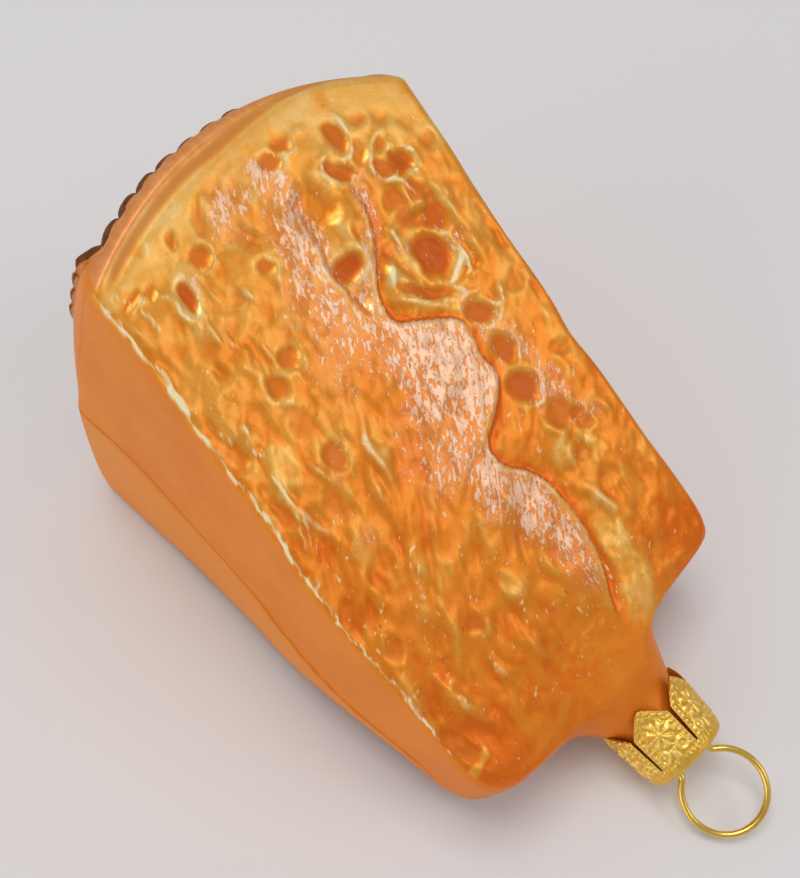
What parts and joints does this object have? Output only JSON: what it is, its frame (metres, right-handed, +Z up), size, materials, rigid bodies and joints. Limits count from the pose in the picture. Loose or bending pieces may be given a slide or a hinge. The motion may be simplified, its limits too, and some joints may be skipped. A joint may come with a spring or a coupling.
{
  "type": "glass cheese wedge ornament",
  "caption": "Blown-glass hanging ornament shaped like a wedge of hard cheese, with a bulging rind, a petalled gold cap on its neck and a wire hanging loop; lies on its side.",
  "frame": {"origin": "centre of the bounding box's bottom face, on the surface the ornament lies on", "axes": "+Z up as it lies with one rough cut face up, +X from the rind towards the neck and the wire loop, -Y the smooth side that shows"},
  "size_m": [0.095, 0.0442, 0.0556],
  "materials": {
    "lacquered_glass": "satin translucent orange lacquer over silvered glass",
    "gilt_cap": "stamped gilt tinplate, embossed",
    "gilt_wire": "polished gilt wire"
  },
  "bodies": {
    "root": {"glass_body": "lacquered_glass", "cap": "gilt_cap", "hanger_loop": "gilt_wire"}
  },
  "joints": []
}
